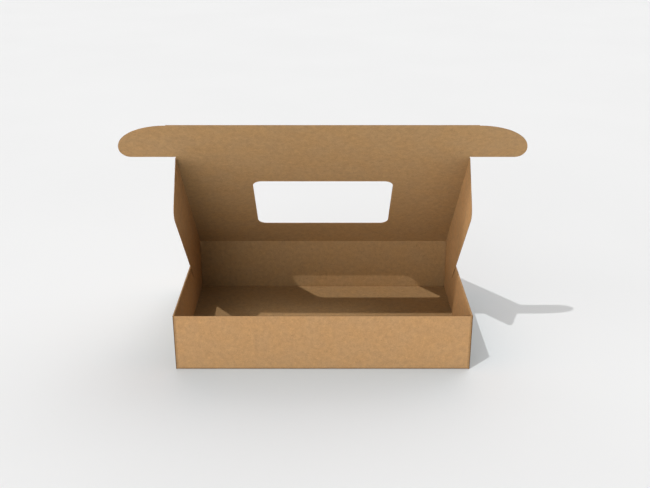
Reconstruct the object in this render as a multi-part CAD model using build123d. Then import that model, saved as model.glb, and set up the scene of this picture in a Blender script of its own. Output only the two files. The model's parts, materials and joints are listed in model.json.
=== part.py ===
"""Mailer box folded from one sheet of kraft board, with a hinged lid that has a window cut in it.

The frame is that of the standing box: X to the right, Y to the back, Z up, origin under the middle of the bottom.
The lid and its flaps are drawn flat on the bench with their inside up, as X across, Y from the hinge to the front
and Z towards the inside of the box. The lid frame then lifts them onto the hinge at the lid's opening angle.
"""
from build123d import *
import math
import os

# Board and tray, in millimetres, measured over the outside
BOARD = 0.5  # thickness of the sheet
LENGTH = 300.8
DEPTH = 201.0
HEIGHT = 60.3  # rim of the front and side walls
DUST_FLAP_LENGTH = 70.0
TAB_WIDTH = 32.0
TAB_SPACING = 100.0  # between the middles of the two tabs of a side wall

# Lid and flaps
LID_OPENING = 46.9  # degrees from shut
WINDOW_LENGTH = 148.8
WINDOW_DEPTH = 100.0
WINDOW_RADIUS = 9.5
WINDOW_MIDDLE = 99.3  # from the hinge to the middle of the window
FLAP_TAPER_FRONT = 12.5  # degrees off square
FLAP_TAPER_BACK = 20.0
FLAP_CORNER = 13.0
EAR_REACH = 54.75  # from the ear's crease to its tip
EAR_FLAT = 45.0  # straight lower edge of the ear
EAR_TIP = 15.0  # height of the tip above the tuck crease
EAR_STEP = 0.9  # the ear's curve starts this far behind the tuck flap's front edge
EAR_STEP_WIDTH = 1.35

# Clearances
PLY_GAP = 0.05  # between the plies of a side wall
SLOT_CLEARANCE = 0.2  # round a lock tab
CREASE_GAP = 0.2  # between the two panels at a crease that turns
CREASE_RADIUS = 0.15  # inside of the lid's folded edges
CREASE_LIP = 0.1
LID_CLEARANCE = 0.2  # under the shut lid
FLAP_CLEARANCE = 0.25  # between a side flap and the side wall
FLAP_END_CLEARANCE = 0.5
FLOOR_CLEARANCE = 0.5  # under the side flaps of the shut lid
TUCK_CLEARANCE = 1.0  # between the tucked flap and the front wall
TUCK_FLOOR_CLEARANCE = 0.45
EAR_CLEARANCE = 0.35  # between a folded ear and the side flap
EAR_RELIEF = 1.15  # slit between an ear and the lid, wide enough for a side flap that is folded in

# Middle of the board in each panel of the tray
HALF_BOARD = BOARD / 2
FOLD_RADIUS = BOARD
outer_side = LENGTH / 2 - HALF_BOARD
dust_side = outer_side - BOARD - PLY_GAP
inner_side = dust_side - BOARD - PLY_GAP
wall_y = DEPTH / 2 - HALF_BOARD
rim_z = HEIGHT - HALF_BOARD
foot_z = BOARD + PLY_GAP

# Hinge line of the lid, and the creases on the lid as seen from it
hinge_z = HEIGHT + LID_CLEARANCE + HALF_BOARD
hinge_gap = HALF_BOARD + CREASE_GAP
flap_x = inner_side - BOARD - FLAP_CLEARANCE
flap_axis_x = flap_x - HALF_BOARD - CREASE_RADIUS
flap_axis_z = HALF_BOARD + CREASE_RADIUS
flap_back = HALF_BOARD + FLAP_END_CLEARANCE
tuck_crease = 2 * wall_y - BOARD - TUCK_CLEARANCE
flap_front = tuck_crease - HALF_BOARD - FLAP_END_CLEARANCE
flap_edge = HEIGHT + LID_CLEARANCE - BOARD - FLOOR_CLEARANCE + HALF_BOARD
tuck_edge = tuck_crease + hinge_z - BOARD - TUCK_FLOOR_CLEARANCE
ear_crease = flap_x - BOARD - EAR_CLEARANCE
lid_frame = Plane(
    origin=(0, wall_y, hinge_z),
    x_dir=(1, 0, 0),
    z_dir=Vector(0, 0, -1).rotate(Axis.X, -LID_OPENING),
)


def bent_sheet(*centre_line, radius=FOLD_RADIUS):
    """Section of the board along a bent centre line."""
    return trace(FilletPolyline(*centre_line, radius=radius), line_width=BOARD)


def run_y(section, start, end):
    """Section drawn in X and Z, run along Y."""
    return extrude(Plane.XZ.offset(-start) * section, start - end)


def flat_panel(outline):
    """Panel of board with the given outline, in the lid's plane."""
    return extrude(make_face(outline), HALF_BOARD, both=True)


def crease_bead(start, end):
    """Round edge of a panel, on the axis that its neighbour turns about."""
    centre = (Vector(start) + Vector(end)) / 2
    along = Vector(end) - Vector(start)
    return Plane(origin=centre, z_dir=along) * Cylinder(HALF_BOARD, along.length)


def make_tray():
    # The side walls roll over the rim and come down inside, between the front and back walls.
    floor_z = HALF_BOARD
    rolled = bent_sheet(
        (-inner_side, foot_z),
        (-inner_side, rim_z),
        (-outer_side, rim_z),
        (-outer_side, floor_z),
        (outer_side, floor_z),
        (outer_side, rim_z),
        (inner_side, rim_z),
        (inner_side, foot_z),
    )
    inside_y = wall_y - HALF_BOARD - PLY_GAP
    tray = run_y(rolled, -inside_y, inside_y)

    # The outer side panels reach past the front and back walls, so their cut edges show at the corners.
    corner_x = dust_side - FOLD_RADIUS
    for side in (-1, 1):
        outer = bent_sheet((side * corner_x, floor_z), (side * outer_side, floor_z), (side * outer_side, HEIGHT))
        tray += run_y(outer, -DEPTH / 2, DEPTH / 2)

    # Front wall, bottom and back wall are one strip. The back wall ends in the lid's crease.
    strip = bent_sheet((-wall_y, HEIGHT), (-wall_y, floor_z), (wall_y, floor_z), (wall_y, hinge_z))
    tray += extrude(Plane.YZ * strip, corner_x, both=True)
    tray += crease_bead((-corner_x, wall_y, hinge_z), (corner_x, wall_y, hinge_z))

    # The dust flaps turn the corners and stand between the plies of the side walls.
    dust_top = HEIGHT - BOARD - PLY_GAP
    for end in (-1, 1):
        flap_end = end * (DEPTH / 2 - DUST_FLAP_LENGTH)
        turned = bent_sheet(
            (-dust_side, flap_end),
            (-dust_side, end * wall_y),
            (dust_side, end * wall_y),
            (dust_side, flap_end),
        )
        tray += Pos(0, 0, foot_z) * extrude(turned, dust_top - foot_z)

    # Tabs on the inner side panels lock into slots in the bottom and end just above its underside.
    tab_height = 2 * BOARD
    for side in (-1, 1):
        for tab_y in (-TAB_SPACING / 2, TAB_SPACING / 2):
            slot = Box(BOARD + 2 * SLOT_CLEARANCE, TAB_WIDTH + 2 * SLOT_CLEARANCE, BOARD)
            tray -= Pos(side * inner_side, tab_y, floor_z) * slot
            tab = Box(BOARD, TAB_WIDTH, tab_height)
            tray += Pos(side * inner_side, tab_y, PLY_GAP + tab_height / 2) * tab
    return tray


def make_lid_panel():
    # Flat panel from the hinge to the tuck crease, with the folded edges that carry the side flaps.
    panel = flat_panel(
        Polyline(
            (-flap_axis_x, hinge_gap),
            (flap_axis_x, hinge_gap),
            (flap_axis_x, tuck_crease),
            (-flap_axis_x, tuck_crease),
            close=True,
        )
    )
    lip_z = flap_axis_z + CREASE_LIP
    folded = bent_sheet((-flap_x, lip_z), (-flap_x, 0), (flap_x, 0), (flap_x, lip_z), radius=flap_axis_z)
    panel += run_y(folded, flap_back, flap_front)
    panel += crease_bead((-flap_axis_x, tuck_crease, 0), (flap_axis_x, tuck_crease, 0))
    window = RectangleRounded(WINDOW_LENGTH, WINDOW_DEPTH, WINDOW_RADIUS)
    return panel - Pos(0, WINDOW_MIDDLE, 0) * extrude(window, BOARD, both=True)


def make_side_flap(side):
    # Drawn as Y and Z. Both ends taper, and the two free corners are round.
    root = flap_axis_z + CREASE_LIP + CREASE_GAP
    back_end = flap_back + (flap_edge - root) * math.tan(math.radians(FLAP_TAPER_BACK))
    front_end = flap_front - (flap_edge - root) * math.tan(math.radians(FLAP_TAPER_FRONT))
    free_edge = FilletPolyline(
        (flap_back, root),
        (back_end, flap_edge),
        (front_end, flap_edge),
        (flap_front, root),
        radius=FLAP_CORNER,
    )
    outline = free_edge + Line(free_edge @ 1, free_edge @ 0)
    return Pos(side * flap_x, 0, 0) * extrude(Plane.YZ * make_face(outline), HALF_BOARD, both=True)


def make_tuck_flap():
    start = tuck_crease + hinge_gap
    flap = flat_panel(
        Polyline(
            (-ear_crease, start),
            (ear_crease, start),
            (ear_crease, tuck_edge),
            (-ear_crease, tuck_edge),
            close=True,
        )
    )
    for side in (-1, 1):
        flap += crease_bead((side * ear_crease, start, 0), (side * ear_crease, tuck_edge, 0))
    return flap


def make_ear():
    # Right ear: a straight lower edge, a blunt tip and a long curve up to the tuck flap's front edge.
    root = ear_crease + hinge_gap
    low = tuck_crease + EAR_RELIEF
    flat_end = ear_crease + EAR_FLAT
    step = ear_crease + EAR_STEP_WIDTH
    tip = ear_crease + EAR_REACH
    tip_y = tuck_crease + EAR_TIP
    curve_top = tuck_edge - EAR_STEP
    outline = Line((root, low), (flat_end, low))
    outline += EllipticalCenterArc((flat_end, tip_y), tip - flat_end, tip_y - low, start_angle=-90)
    outline += EllipticalCenterArc((step, tip_y), tip - step, curve_top - tip_y)
    outline += Polyline((step, curve_top), (step, tuck_edge), (root, tuck_edge), (root, low))
    return flat_panel(outline)


ear = make_ear()
parts = {
    "tray": make_tray(),
    "lid_panel": lid_frame * make_lid_panel(),
    "side_flap_left": lid_frame * make_side_flap(-1),
    "side_flap_right": lid_frame * make_side_flap(1),
    "tuck_flap": lid_frame * make_tuck_flap(),
    "ear_left": lid_frame * mirror(ear, about=Plane.YZ),
    "ear_right": lid_frame * ear,
}

os.makedirs("parts", exist_ok=True)
for name, solid in parts.items():
    export_step(solid, f"parts/{name}.step")
    print(name, round(solid.volume, 2), solid.bounding_box())
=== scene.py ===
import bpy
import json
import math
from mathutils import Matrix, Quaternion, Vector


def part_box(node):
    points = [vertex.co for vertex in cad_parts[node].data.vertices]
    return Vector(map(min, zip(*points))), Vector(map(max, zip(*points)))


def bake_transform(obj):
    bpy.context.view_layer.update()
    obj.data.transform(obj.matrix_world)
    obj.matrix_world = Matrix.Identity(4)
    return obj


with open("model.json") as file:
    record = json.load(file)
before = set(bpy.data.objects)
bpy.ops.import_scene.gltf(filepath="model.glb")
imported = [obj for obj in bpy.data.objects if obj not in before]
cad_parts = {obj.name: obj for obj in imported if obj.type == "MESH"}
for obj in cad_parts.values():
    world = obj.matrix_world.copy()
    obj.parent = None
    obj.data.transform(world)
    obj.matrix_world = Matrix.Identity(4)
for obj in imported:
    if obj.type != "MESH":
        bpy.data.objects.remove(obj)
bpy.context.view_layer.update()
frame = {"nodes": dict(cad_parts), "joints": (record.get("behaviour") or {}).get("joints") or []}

# %% [markdown]
# # A mailer box in Blender
#
# The box is one sheet of brown kraft board, cut, creased and folded: a tray with double side walls, and a
# lid with a window, two side flaps, and a tuck flap that ends in two ears. The solids of all these panels
# are loaded already, in metres, and each panel turns about a crease that the record lists. This lesson does
# what the solids cannot: it joins the panels at their creases, gives the board its fibres, and sets up the
# picture.

panels = frame["nodes"]
creases = {joint["name"]: joint for joint in frame["joints"]}
for name in sorted(panels):
    low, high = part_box(name)
    size = [round(1000 * (high[i] - low[i]), 1) for i in range(3)]
    print("panel", name, "is", size, "mm")

# %% [markdown]
# ## The directions that the lid gives us
#
# The lid leans over the tray, so most of its pieces lie square to no axis of the scene. It helps to name
# the directions once. "Up the lid" runs from the hinge to the front edge, and "into the box" is square to
# the lid on its inner side. Both could be typed in as numbers, but reading them from the crease of a side
# flap keeps them right if the lid's angle changes.

# %% Name the directions
RIGHT = Vector((1, 0, 0))
UP = Vector((0, 0, 1))
up_the_lid = Vector(creases["left_flap_fold"]["axis"]).normalized()
into_the_box = RIGHT.cross(up_the_lid)
print("up the lid", [round(v, 3) for v in up_the_lid], "into the box", [round(v, 3) for v in into_the_box])

# %% [markdown]
# ## Small helpers for nodes
#
# Materials are built from nodes. In the editor you add a node, type in its values and drag wires to it. The
# first helper does the same in one call: a value that is a socket becomes a wire, and anything else is
# typed in. The other two are for the nodes that are used most: one does a sum, and one spreads a range of
# values over another range, with soft ends.


# %% Helpers that add nodes
def add_node(tree, kind, inputs=None, **settings):
    node = tree.nodes.new(kind)
    for setting, value in settings.items():
        setattr(node, setting, value)
    for socket, value in (inputs or {}).items():
        if isinstance(value, bpy.types.NodeSocket):
            tree.links.new(value, node.inputs[socket])
        else:
            node.inputs[socket].default_value = value
    return node


def sums(tree, operation, first, second=0.0):
    return add_node(tree, "ShaderNodeMath", {0: first, 1: second}, operation=operation).outputs[0]


def spread(tree, value, from_low, from_high, to_low=0.0, to_high=1.0):
    ranges = {"Value": value, "From Min": from_low, "From Max": from_high}
    ranges.update({"To Min": to_low, "To Max": to_high})
    return add_node(tree, "ShaderNodeMapRange", ranges, interpolation_type="SMOOTHSTEP").outputs["Result"]


print("node helpers are ready")

# %% [markdown]
# ## Kraft pulp
#
# Kraft board is brown because its wood pulp is not bleached. Close up it is a felt of fibres: soft clouds
# where the pulp lay thicker, finer flocs, pale and dark single fibres that lie in all directions, and a few
# specks of bark. An image could show that, but it would need unwrapping and would stretch at the folds.
# Noise in the object's own coordinates needs neither, runs on across every crease, and stays with the panel
# when it moves. A fibre is the line where a noise passes through one half: that line is thin, wanders, and
# favours no direction. A second noise breaks it into short lengths.

# %% Helpers for the layers of the pulp
BREAKS_TO_WANDER = 0.6  # scale of the noise that breaks a fibre, next to the noise that it follows
FIBRE_GONE, FIBRE_WHOLE = 0.48, 0.62
NOISE_LOW, NOISE_MIDDLE, NOISE_HIGH = 0.3, 0.5, 0.7  # most of a noise lies between low and high


def noise(tree, where, scale, detail=2.0, roughness=0.5):
    values = {"Vector": where, "Scale": scale, "Detail": detail, "Roughness": roughness}
    return add_node(tree, "ShaderNodeTexNoise", values).outputs["Fac"]


def fibres(tree, where, offset, scale, width):
    place = add_node(tree, "ShaderNodeVectorMath", {0: where, 1: offset}, operation="ADD").outputs[0]
    wander = noise(tree, place, scale, detail=1.0)
    off_line = sums(tree, "ABSOLUTE", sums(tree, "SUBTRACT", wander, NOISE_MIDDLE))
    line = spread(tree, off_line, 0.0, width, 1.0, 0.0)
    broken = noise(tree, place, scale * BREAKS_TO_WANDER, detail=1.0)
    return sums(tree, "MULTIPLY", line, spread(tree, broken, FIBRE_GONE, FIBRE_WHOLE))


print("pulp helpers are ready")

# %% The pulp as a node group, and its layers
CLOUD_SCALE, FLOC_SCALE, GRAIN_SCALE = 14.0, 200.0, 900.0  # a higher scale is finer
# Offset, scale and width of each layer of fibres
PALE_FIBRES = [((3.1, 0.0, 0.0), 330.0, 0.030), ((0.0, 5.7, 0.0), 520.0, 0.035)]
DARK_FIBRES = [((0.0, 0.0, 7.3), 300.0, 0.028), ((9.9, 0.0, 0.0), 470.0, 0.032)]

pulp = bpy.data.node_groups.new("kraft_pulp", "ShaderNodeTree")
pulp.interface.new_socket("Place", in_out="INPUT", socket_type="NodeSocketVector")
pulp.interface.new_socket("Contrast", in_out="INPUT", socket_type="NodeSocketFloat")
pulp.interface.new_socket("Tone", in_out="OUTPUT", socket_type="NodeSocketColor")
pulp.interface.new_socket("Relief", in_out="OUTPUT", socket_type="NodeSocketFloat")
asked = add_node(pulp, "NodeGroupInput")
place, contrast = asked.outputs["Place"], asked.outputs["Contrast"]

clouds = noise(pulp, place, CLOUD_SCALE)
flocs = noise(pulp, place, FLOC_SCALE, detail=4.0, roughness=0.62)
grain = noise(pulp, place, GRAIN_SCALE, roughness=0.6)
pale_fibres = sums(pulp, "MAXIMUM", *(fibres(pulp, place, *layer) for layer in PALE_FIBRES))
dark_fibres = sums(pulp, "MAXIMUM", *(fibres(pulp, place, *layer) for layer in DARK_FIBRES))
print("layers of pulp:", len(pulp.nodes), "nodes so far")

# %% Bark specks
SPECK_SCALE = 130.0
SPECK_CORE, SPECK_EDGE = 0.03, 0.075
SPECK_NONE, SPECK_ALL = 0.62, 0.70  # about a third of the cells hold a speck

bark = add_node(pulp, "ShaderNodeTexVoronoi", {"Vector": place, "Scale": SPECK_SCALE})
chosen = add_node(pulp, "ShaderNodeSeparateColor", {"Color": bark.outputs["Color"]}).outputs[0]
round_speck = spread(pulp, bark.outputs["Distance"], SPECK_CORE, SPECK_EDGE, 1.0, 0.0)
specks = sums(pulp, "MULTIPLY", round_speck, spread(pulp, chosen, SPECK_NONE, SPECK_ALL))
print("specks come from cells", round(1000 / SPECK_SCALE, 1), "mm across")

# %% All layers added up to a tone and a relief
CLOUD_TONES = (0.994, 1.006)
TONE_SWINGS = [(flocs, 0.44), (grain, 0.28)]
TONE_MARKS = [(pale_fibres, 0.13), (dark_fibres, -0.15), (specks, -0.35)]
RELIEF = [(flocs, 0.5), (grain, 0.6), (pale_fibres, 0.35), (dark_fibres, -0.25)]
WARMTH_SCALE = 48.0
WARMER_RED, WARMER_BLUE = (0.985, 1.015), (1.03, 0.97)


def added_up(tree, start, layers):
    for layer, strength in layers:
        start = sums(tree, "ADD", start, sums(tree, "MULTIPLY", layer, strength))
    return start


swings = [(sums(pulp, "SUBTRACT", layer, NOISE_MIDDLE), strength) for layer, strength in TONE_SWINGS]
tone = added_up(pulp, spread(pulp, clouds, NOISE_LOW, NOISE_HIGH, *CLOUD_TONES), swings + TONE_MARKS)
tone = sums(pulp, "ADD", sums(pulp, "MULTIPLY", sums(pulp, "SUBTRACT", tone, 1.0), contrast), 1.0)
relief = added_up(pulp, 0.0, RELIEF)

warmth = noise(pulp, place, WARMTH_SCALE)
red = spread(pulp, warmth, NOISE_LOW, NOISE_HIGH, *WARMER_RED)
blue = spread(pulp, warmth, NOISE_LOW, NOISE_HIGH, *WARMER_BLUE)
hue = add_node(pulp, "ShaderNodeCombineColor", {0: red, 1: 1.0, 2: blue})
tinted = add_node(pulp, "ShaderNodeVectorMath", {0: hue.outputs[0], "Scale": tone}, operation="SCALE")
add_node(pulp, "NodeGroupOutput", {"Tone": tinted.outputs[0], "Relief": relief})
print("kraft pulp has", len(pulp.nodes), "nodes")

# %% [markdown]
# ## Board with two liners, pressed folds, cut edges, and painted light and shade
#
# The sheet has a smoother, warmer liner on the outside of the box and a duller one inside. On the side
# walls and side flaps the inside faces are painted lighter and warmer: painted light. Along a fold the
# board is pressed and painted darker, and at the foot of each wall that darker tone is painted shade, where
# the fold turns down to the floor. Where the die cut it, the raw core shows: darker still, and darkest at
# the ends of the outer side panels, which lie in the groove of a corner; that extra darkness is painted
# shade. Each tone could be a mesh of its own, but that is a lot of geometry for half a millimetre of board,
# so the material tells them apart. A face that looks towards the middle of the box has the inside liner,
# and one that also looks left or right has the painted light. A face of a panel points along the panel's
# own normal and a cut edge points across it. Both are a dot product in the object's own coordinates, so
# they stay right when a panel turns.

# %% Tones of the board
OUTSIDE_LINER = (0.550, 0.315, 0.140, 1.0)
INSIDE_LINER = (0.475, 0.285, 0.127, 1.0)
# inside faces that look left or right: painted lighter and warmer, as painted light
SIDE_LINER_WITH_PAINTED_LIGHT = (0.605, 0.335, 0.142, 1.0)
# pressed board, darker; at the foot of a wall this tone is painted shade
PRESSED_FOLD_AND_SHADE = (0.440, 0.250, 0.110, 1.0)
RAW_CORE = (0.340, 0.192, 0.086, 1.0)
# raw core, darkened further as painted shade in the groove of a corner
CORNER_CORE_AND_SHADE = (0.190, 0.106, 0.048, 1.0)
print("liners: outside", OUTSIDE_LINER[:3], "inside", INSIDE_LINER[:3])

# %% Helpers that tell the faces apart
MIDDLE_OF_BOX = (0.0, 0.0, 0.080)
SIDEWAYS = 0.7  # a face whose normal has more than this along X looks sideways


def coordinate(tree, place, axis):
    return add_node(tree, "ShaderNodeSeparateXYZ", {0: place}).outputs[axis]


def distance(tree, place, axis):
    return sums(tree, "ABSOLUTE", coordinate(tree, place, axis))


def dot(tree, first, second):
    product = add_node(tree, "ShaderNodeVectorMath", {0: first, 1: second}, operation="DOT_PRODUCT")
    return product.outputs["Value"]


def mixed(tree, share, first, second):
    return add_node(tree, "ShaderNodeMix", {0: share, 6: first, 7: second}, data_type="RGBA").outputs[2]


def faces_inside(tree, place, normal):
    inward = add_node(tree, "ShaderNodeVectorMath", {0: MIDDLE_OF_BOX, 1: place}, operation="SUBTRACT")
    return sums(tree, "GREATER_THAN", dot(tree, normal, inward.outputs[0]), 0.0)


def faces_sideways(tree, normal):
    return sums(tree, "GREATER_THAN", distance(tree, normal, 0), SIDEWAYS)


print("faces that look inside are those that look towards", MIDDLE_OF_BOX)

# %% Material of the board
INSIDE_CONTRAST = 1.12  # the fibres stand out more on the duller liner
RELIEF_LOW, RELIEF_HIGH = 0.2, 0.9
SMOOTH_FIBRE, ROUGH_FIBRE = 0.78, 0.95
FIBRE_BUMP, FIBRE_HEIGHT = 0.35, 0.00012
KRAFT_GLOSS = 0.25


def kraft_board(name, find_cut_edges=None, find_folds_and_shade=None, core=RAW_CORE, liner=None):
    material = bpy.data.materials.new(name)
    material.use_nodes = True
    tree = material.node_tree
    tree.nodes.clear()
    ways = add_node(tree, "ShaderNodeTexCoord")
    place, normal = ways.outputs["Object"], ways.outputs["Normal"]
    if liner:
        colour, contrast = liner[:3], 1.0
    else:
        inside = faces_inside(tree, place, normal)
        # inside faces that look sideways get the painted light
        inner_colour = mixed(tree, faces_sideways(tree, normal), INSIDE_LINER, SIDE_LINER_WITH_PAINTED_LIGHT)
        colour = mixed(tree, inside, OUTSIDE_LINER, inner_colour)
        contrast = spread(tree, inside, 0.0, 1.0, 1.0, INSIDE_CONTRAST)
    # darker along the tray's folds; at the foot of a wall this is painted shade
    if find_folds_and_shade:
        colour = mixed(tree, find_folds_and_shade(tree, place), colour, PRESSED_FOLD_AND_SHADE)
    if find_cut_edges:
        colour = mixed(tree, find_cut_edges(tree, place, normal), colour, core)
    sheet = add_node(tree, "ShaderNodeGroup", {"Place": place, "Contrast": contrast}, node_tree=pulp)
    tone, relief = sheet.outputs["Tone"], sheet.outputs["Relief"]
    toned = add_node(tree, "ShaderNodeVectorMath", {0: colour, 1: tone}, operation="MULTIPLY")
    bump_values = {"Height": relief, "Strength": FIBRE_BUMP, "Distance": FIBRE_HEIGHT}
    look = {
        "Base Color": toned.outputs[0],
        "Roughness": spread(tree, relief, RELIEF_LOW, RELIEF_HIGH, SMOOTH_FIBRE, ROUGH_FIBRE),
        "Normal": add_node(tree, "ShaderNodeBump", bump_values).outputs[0],
        "Specular IOR Level": KRAFT_GLOSS,
    }
    shader = add_node(tree, "ShaderNodeBsdfPrincipled", look)
    add_node(tree, "ShaderNodeOutputMaterial", {"Surface": shader.outputs[0]})
    print("material", name, "has", len(tree.nodes), "nodes")
    return material


print("the board's roughness goes from", SMOOTH_FIBRE, "to", ROUGH_FIBRE)

# %% [markdown]
# ## Where each panel was cut and pressed
#
# The lid, the tuck flap and the ears lie in the lid's plane, and the side flaps face left and right. On the
# lid panel only the rim of the window was cut, as its other sides are creases, so there the rule stops
# short of the sides. On the tray, the cut edges are the front wall's rim and the ends of the outer side
# panels, which show at the corners; their raw core is painted extra dark, as painted shade of the corner's
# groove. The tray's pressed folds are the rolled rims of the side walls, the foot of every wall and the
# upright corners; at the foot the darker tone is painted shade, where the fold turns down to the floor.
# They could be painted by hand, but a rule that asks where a point lies needs no painting and has no seams.

# %% Rules for the cut edges
EDGE_FULL, EDGE_NONE = 0.35, 0.75  # how far a cut edge may face along the panel's normal
END_NONE, END_FULL = 0.8, 0.95  # how far the end of a side panel has to face forward
RIM_TOP = 0.06025  # the front wall's cut rim lies above this
FRONT_WALL_INSIDE = -0.0999  # and in front of this
OUTER_PLY = 0.00055  # the outer side panel and its gap
CORNER_TURN = 0.0013  # the front wall starts to turn this far from the tray's end
tray_end, tray_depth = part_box("tray")[1][:2]
outer_panel = tray_end - OUTER_PLY
front_wall_end = tray_end - CORNER_TURN


def cut_across(panel_normal, reach=1.0):
    def find(tree, place, normal):
        facing = sums(tree, "ABSOLUTE", dot(tree, normal, panel_normal))
        edge = spread(tree, facing, EDGE_FULL, EDGE_NONE, 1.0, 0.0)
        return sums(tree, "MULTIPLY", edge, sums(tree, "LESS_THAN", distance(tree, place, 0), reach))

    return find


def cut_on_tray(tree, place, normal):
    side = distance(tree, place, 0)
    on_outer_panel = sums(tree, "GREATER_THAN", side, outer_panel)
    faces_front = spread(tree, distance(tree, normal, 1), END_NONE, END_FULL)
    panel_end = sums(tree, "MULTIPLY", on_outer_panel, faces_front)
    on_top = sums(tree, "GREATER_THAN", coordinate(tree, place, 2), RIM_TOP)
    in_front = sums(tree, "LESS_THAN", coordinate(tree, place, 1), FRONT_WALL_INSIDE)
    between_corners = sums(tree, "LESS_THAN", side, front_wall_end)
    rim = sums(tree, "MULTIPLY", sums(tree, "MULTIPLY", on_top, in_front), between_corners)
    return sums(tree, "MAXIMUM", panel_end, rim)


print("outer side panels start", round(1000 * outer_panel, 2), "mm from the middle")

# %% Rule for the pressed folds, with painted shade at the foot of the walls
RIM_HEIGHT = 0.0603
RIM_FOLD = (RIM_HEIGHT - 0.0007, RIM_HEIGHT - 0.0002)  # its tone starts here, and is full here
# painted shade at the foot of a wall
FOOT_SHADE = (0.0014, 0.0020)  # its tone is full up to here, and gone here
CORNER_FOLD = (tray_end - 0.0032, tray_end - 0.0020)
WALL_THICKNESS = 0.0016  # of a side wall: three plies
FOLD_REACH = 0.0008  # in from the outside


def folds_and_shade_of_tray(tree, place):
    side, depth = distance(tree, place, 0), distance(tree, place, 1)
    height = coordinate(tree, place, 2)
    over_side_wall = sums(tree, "GREATER_THAN", side, tray_end - WALL_THICKNESS)
    rim = sums(tree, "MULTIPLY", over_side_wall, spread(tree, height, *RIM_FOLD))
    outer_side = sums(tree, "GREATER_THAN", side, tray_end - FOLD_REACH)
    outer_end = sums(tree, "GREATER_THAN", depth, tray_depth - FOLD_REACH)
    outside = sums(tree, "MAXIMUM", outer_side, outer_end)
    # painted shade along the foot of each outer wall, where the fold turns down to the floor
    foot = sums(tree, "MULTIPLY", outside, spread(tree, height, *FOOT_SHADE, 1.0, 0.0))
    corner = sums(tree, "MULTIPLY", outer_end, spread(tree, side, *CORNER_FOLD))
    return sums(tree, "MAXIMUM", sums(tree, "MAXIMUM", rim, foot), corner)


print("pressed folds reach", round(1000 * FOOT_SHADE[1], 1), "mm up from the floor")

# %% Put the board on the panels
LID_EDGES = 0.140  # the lid's folded edges start further out than this
# the tray's cut edges get the raw core with painted shade
tray_board = kraft_board("kraft_board_tray", cut_on_tray, folds_and_shade_of_tray, CORNER_CORE_AND_SHADE)
lid_board = kraft_board("kraft_board_lid", cut_across(into_the_box, LID_EDGES))
front_board = kraft_board("kraft_board_tuck_and_ears", cut_across(into_the_box))
flap_board = kraft_board("kraft_board_side_flaps", cut_across(RIGHT))
board_of = {
    "tray": tray_board,
    "lid_panel": lid_board,
    "side_flap_left": flap_board,
    "side_flap_right": flap_board,
    "tuck_flap": front_board,
    "ear_left": front_board,
    "ear_right": front_board,
}
for name, board in board_of.items():
    slot = panels[name].material_slots[0]
    slot.link = "OBJECT"
    slot.material = board
    print(name, "is", board.name)

# %% [markdown]
# ## Creases that bend
#
# On the real sheet the board runs on through every crease: it is pressed along a line, and bends there. The
# solids stop short of each other so that they can turn, which leaves a slit of a fifth of a millimetre that
# light would come through. A short piece of board closes it. Each piece is bent: it lies along one panel at
# one side, along the other panel at the other side, and turns part of the way in between, as creased board
# does. It is made in one pose and does not follow the panels when they turn.
#
# Each piece is drawn flat, as a thin lens that stands proud of the board by three hundredths of a
# millimetre in the middle and dips under its faces at the sides, so no step shows. It is then bent to the
# angle that the crease has in the photograph. The crease of a side flap folds right over, so its piece
# reaches less far to each side.

# %% Measures of a crease
HALF_BOARD = 0.00025
FLAT_REACH = 0.0016  # to each side of a crease
FOLDED_REACH = 0.0007  # to each side of a crease that folds right over
CREASE_PROUD = 0.00003
CREASE_DIP = 0.00002
CREASE_STEPS = 16


def crease_section(reach):
    across = [2 * step / CREASE_STEPS - 1 for step in range(CREASE_STEPS + 1)]
    half = [HALF_BOARD + CREASE_PROUD - (CREASE_PROUD + CREASE_DIP) * s ** 4 for s in across]
    top = [(s * reach, h) for s, h in zip(across, half)]
    bottom = [(s * reach, -h) for s, h in zip(across, half)]
    return top + bottom[::-1]


print("a crease is drawn with", len(crease_section(FLAT_REACH)), "points across")

# %% [markdown]
# ## The tone of a crease
#
# A crease has the outside liner on one face, the inside liner on the other, and raw board at its two ends.
# The panels' rule would ask where a face points, but these pieces bend, so a face that points inside in one
# pose may not in the next. Here each face is told its tone once, when it is made.

# %% Boards of the creases
crease_outside = kraft_board("kraft_board_crease_outside", liner=OUTSIDE_LINER)
crease_inside = kraft_board("kraft_board_crease_inside", liner=INSIDE_LINER)
crease_ends = kraft_board("kraft_board_crease_ends", liner=RAW_CORE)


def face_crease(mesh, top, bottom, points_across):
    for board in (top, bottom, crease_ends):
        mesh.materials.append(board)
    for face in mesh.polygons:
        if face.index < CREASE_STEPS:
            face.material_index = 0
        elif face.index < points_across:
            face.material_index = 1
        else:
            face.material_index = 2


print("boards of the creases are ready")


# %% Helper that bends a crease between the directions of its two panels
def bent(point, share, angle, axis):
    return Quaternion(axis, angle * share * share * (3 - 2 * share)) @ point


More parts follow.
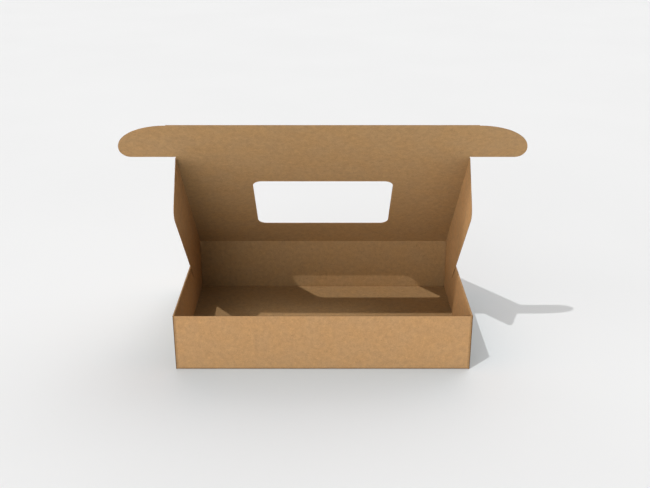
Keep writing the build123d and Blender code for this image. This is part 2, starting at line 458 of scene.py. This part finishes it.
def make_crease(name, middle, axis, half_length, first, second, outward=0.0, reach=FLAT_REACH):
    """first runs along the first panel up to the crease, second along the second panel from it."""
    across = axis.cross(first).normalized()
    angle = math.atan2(first.cross(second).dot(axis), first.dot(second))
    vertices = []
    for end in (-1, 1):
        for s, h in crease_section(reach):
            flat = first * s + across * (h + outward)
            share = (s / reach + 1) / 2
            vertices.append(middle + axis * (end * half_length) + bent(flat, share, angle, axis))
    count = len(vertices) // 2
    faces = [(i, (i + 1) % count, count + (i + 1) % count, count + i) for i in range(count)]
    faces += [tuple(range(count - 1, -1, -1)), tuple(range(count, 2 * count))]
    mesh = bpy.data.meshes.new(name)
    mesh.from_pydata(vertices, [], faces)
    if across.dot(into_the_box) > 0:
        face_crease(mesh, crease_inside, crease_outside, count)
    else:
        face_crease(mesh, crease_outside, crease_inside, count)
    piece = bpy.data.objects.new(name, mesh)
    bpy.context.scene.collection.objects.link(piece)
    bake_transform(piece)
    print("crease", name, "bends", round(math.degrees(angle), 1), "degrees in the photograph")


print("crease helper is ready")

# %% The creases at the hinge and the tuck flap
LID_CREASE, TUCK_CREASE = 0.1478, 0.1476  # half of their lengths


def crease_point(joint):
    return Vector(creases[joint]["pos_m"])


hinge, tuck_fold = crease_point("lid_hinge"), crease_point("tuck_fold")
make_crease("crease_lid", hinge, RIGHT, LID_CREASE, UP, up_the_lid)
make_crease("crease_tuck", tuck_fold, RIGHT, TUCK_CREASE, up_the_lid, up_the_lid)

# %% The creases of the side flaps and the ears
FLAP_CREASE, EAR_CREASE = 0.0986, 0.0292  # half of their lengths
FLAP_FOLD_RADIUS = 0.0004  # from the crease's axis to the middle of the board
ROOM = 0.0005  # between a flap that is folded in and an ear
kept_apart = up_the_lid * ROOM
for side, way in (("left", -RIGHT), ("right", RIGHT)):
    make_crease(
        "crease_flap_" + side,
        crease_point(side + "_flap_fold") - kept_apart,
        up_the_lid,
        FLAP_CREASE,
        way,
        into_the_box,
        FLAP_FOLD_RADIUS if side == "right" else -FLAP_FOLD_RADIUS,
        FOLDED_REACH,
    )
    make_crease(
        "crease_ear_" + side,
        crease_point(side + "_ear_fold") + kept_apart,
        up_the_lid,
        EAR_CREASE,
        way,
        way,
    )

# %% [markdown]
# ## The floor
#
# The box stands on a pale, even floor that fills the picture. A plain white plane would do, but a floor
# that is one flat colour looks like no floor at all, so a very faint unevenness goes into its colour. It
# reaches far back, as the camera looks down on it and no horizon shows.
#
# White paper beside a brown wall picks up some of the brown. In the photograph the floor stays a clean grey
# right up to the box. A coloured light could undo the brown, but it would also fall on the box, so the
# paper itself is painted a little cooler along the foot of each wall, against the brown bounce light, and a
# little darker there, as painted shade.

# %% Floor
FLOOR_REACH = 9.0
FLOOR_LEVEL = -0.0002
floor_mesh = bpy.data.meshes.new("studio_floor")
corners = [(-FLOOR_REACH, -FLOOR_REACH), (FLOOR_REACH, -FLOOR_REACH)]
corners += [(FLOOR_REACH, FLOOR_REACH), (-FLOOR_REACH, FLOOR_REACH)]
floor_mesh.from_pydata([(x, y, FLOOR_LEVEL) for x, y in corners], [], [(0, 1, 2, 3)])
floor = bpy.data.objects.new("studio_floor", floor_mesh)
bpy.context.scene.collection.objects.link(floor)
print("floor reaches", FLOOR_REACH, "m")

# %% Paper of the floor, and how near a place on it is to a wall
PAPER_SCALE = 3.0
PAPER_TONES = (0.822, 0.832)
COOL_REACH = 0.060
COOL_FADE = 0.035  # past the ends of a wall
COOL_AT_SIDES = 0.95
paper = bpy.data.materials.new("studio_paper")
paper.use_nodes = True
paper_tree = paper.node_tree
paper_tree.nodes.clear()
paper_place = add_node(paper_tree, "ShaderNodeTexCoord").outputs["Object"]
unevenness = noise(paper_tree, paper_place, PAPER_SCALE)
paper_tone = spread(paper_tree, unevenness, NOISE_LOW, NOISE_HIGH, *PAPER_TONES)


def beside_wall(from_middle, wall, along, wall_end):
    off_wall = sums(paper_tree, "MAXIMUM", sums(paper_tree, "SUBTRACT", from_middle, wall), 0.0)
    near = sums(paper_tree, "EXPONENT", sums(paper_tree, "MULTIPLY", off_wall, -1 / COOL_REACH))
    inside_ends = spread(paper_tree, along, wall_end - COOL_FADE, wall_end + COOL_FADE, 1.0, 0.0)
    return sums(paper_tree, "MULTIPLY", near, inside_ends)


side, depth = distance(paper_tree, paper_place, 0), distance(paper_tree, paper_place, 1)
near_front = beside_wall(depth, tray_depth, side, tray_end)
near_side = sums(paper_tree, "MULTIPLY", beside_wall(side, tray_end, depth, tray_depth), COOL_AT_SIDES)
near_box = sums(paper_tree, "MAXIMUM", near_front, near_side)
print("the paper is cooler within", round(1000 * COOL_REACH), "mm of the box")

# %% Colour of the paper
# painted: cooler against the brown bounce light, and a little darker as painted shade
COOLER_AND_SHADED = (0.910, 0.974, 1.006)  # red, green and blue at the foot of a wall, next to the paper's own tone
shares = [spread(paper_tree, near_box, 0.0, 1.0, 1.0, share) for share in COOLER_AND_SHADED]
channels = [sums(paper_tree, "MULTIPLY", paper_tone, share) for share in shares]
paper_colour = add_node(paper_tree, "ShaderNodeCombineColor", dict(enumerate(channels)))
paper_look = {"Base Color": paper_colour.outputs[0], "Roughness": 0.95, "Specular IOR Level": 0.0}
paper_shader = add_node(paper_tree, "ShaderNodeBsdfPrincipled", paper_look)
add_node(paper_tree, "ShaderNodeOutputMaterial", {"Surface": paper_shader.outputs[0]})
floor_mesh.materials.append(paper)
print("paper has", len(paper_tree.nodes), "nodes")

# %% [markdown]
# ## Light
#
# The shadows in the photograph tell where the light is. A sharp one falls to the right and to the back, so
# a small source stands high in front on the left. A wide soft one lies in front of the box, so large soft
# lights hang high behind it. The inside of the lid is brighter than it would be under these two, so low
# ones stand in front and on the left. Area lamps would do for the soft ones, but they fade with distance,
# and the far floor is even. Soft patches in the world's background stay even over the whole floor.
#
# A patch is a power of the cosine between the way a ray goes and the way to the patch: 1 in its middle,
# fading all round, and smaller for a higher power.

# %% Key light
KEY_STRENGTH = 1.18
KEY_SIZE = 0.6  # in degrees: a small source gives a sharp shadow
KEY_WAY = Vector((0.409, 0.4135, -1.0))
sun_lamp = bpy.data.lights.new("key_light", "SUN")
sun_lamp.energy = KEY_STRENGTH
sun_lamp.angle = math.radians(KEY_SIZE)
sun = bpy.data.objects.new("key_light", sun_lamp)
sun.rotation_euler = KEY_WAY.to_track_quat("-Z", "Y").to_euler()
bpy.context.scene.collection.objects.link(sun)
print("key light", sun_lamp.energy)

# %% Soft lights
WIDE, MIDDLING, NARROW = 8.0, 20.0, 40.0  # powers
soft_lights = [
    # azimuth and elevation in degrees, strength, size
    (190, 4, 4.46, NARROW),
    (210, 4, 2.37, NARROW),
    (250, 4, 1.48, NARROW),
    (270, 4, 1.08, NARROW),
    (225, 12, 1.09, WIDE),
    (270, 12, 0.56, WIDE),
    (250, 25, 2.01, NARROW),
    (0, 45, 0.48, WIDE),
    (45, 45, 0.96, WIDE),
    (90, 45, 0.90, WIDE),
    (135, 45, 0.42, WIDE),
    (60, 70, 2.16, MIDDLING),
]
studio = bpy.data.worlds.new("studio_light")
studio.use_nodes = True
dome = studio.node_tree
gaze = add_node(dome, "ShaderNodeTexCoord").outputs["Generated"]
glow = 0.0
for azimuth, elevation, strength, size in soft_lights:
    turn, tilt = math.radians(azimuth), math.radians(elevation)
    towards = (math.cos(turn) * math.cos(tilt), math.sin(turn) * math.cos(tilt), math.sin(tilt))
    patch = sums(dome, "POWER", sums(dome, "MAXIMUM", dot(dome, gaze, towards), 0.0), size)
    glow = sums(dome, "ADD", sums(dome, "MULTIPLY", patch, strength), glow)
print("soft lights:", len(soft_lights))

# %% [markdown]
# ## Backdrop and bounces
#
# What shows above the floor should be as pale as the floor, but a sky that bright would drown the soft
# lights. So the camera and mirrors see a pale backdrop, and the rays that light the box see the patches.
# Light in a brown box turns browner each time it bounces. The photograph shows little of that, so light
# bounces once from wall to wall here.

# %% Backdrop and bounces
PALE_BACKDROP = 0.89
seen = add_node(dome, "ShaderNodeLightPath")
direct = sums(dome, "MAXIMUM", seen.outputs["Is Camera Ray"], seen.outputs["Is Glossy Ray"])
direct = sums(dome, "MAXIMUM", direct, seen.outputs["Is Transmission Ray"])
background = dome.nodes["Background"]
dome.links.new(spread(dome, direct, 0.0, 1.0, glow, PALE_BACKDROP), background.inputs["Strength"])
background.inputs["Color"].default_value = (1.0, 1.0, 1.0, 1.0)
bpy.context.scene.world = studio
bpy.context.scene.cycles.diffuse_bounces = 1
print("backdrop", PALE_BACKDROP)

# %% [markdown]
# ## Camera
#
# The camera was found by matching the box's corners with the photograph: it stands just right of the
# middle, almost a metre in front, and looks down by 22 degrees. It could be placed by eye, but then the
# lid's slope would look wrong. The picture is shown as it is, without a film look.

# %% Camera and view
CAMERA_PLACE = (0.002234, -0.910234, 0.467048)
CAMERA_TILT = 67.8975  # in degrees, from straight down
lens = bpy.data.cameras.new("photo_camera")
lens.lens = 50.0
lens.sensor_width = 36.0
lens.clip_start = 0.01
lens.clip_end = 50.0
camera = bpy.data.objects.new("photo_camera", lens)
camera.location = CAMERA_PLACE
camera.rotation_euler = (math.radians(CAMERA_TILT), 0.0, 0.0)
bpy.context.scene.collection.objects.link(camera)
bpy.context.scene.camera = camera
bpy.context.scene.view_settings.view_transform = "Standard"
print("camera at", [round(v, 3) for v in camera.location])
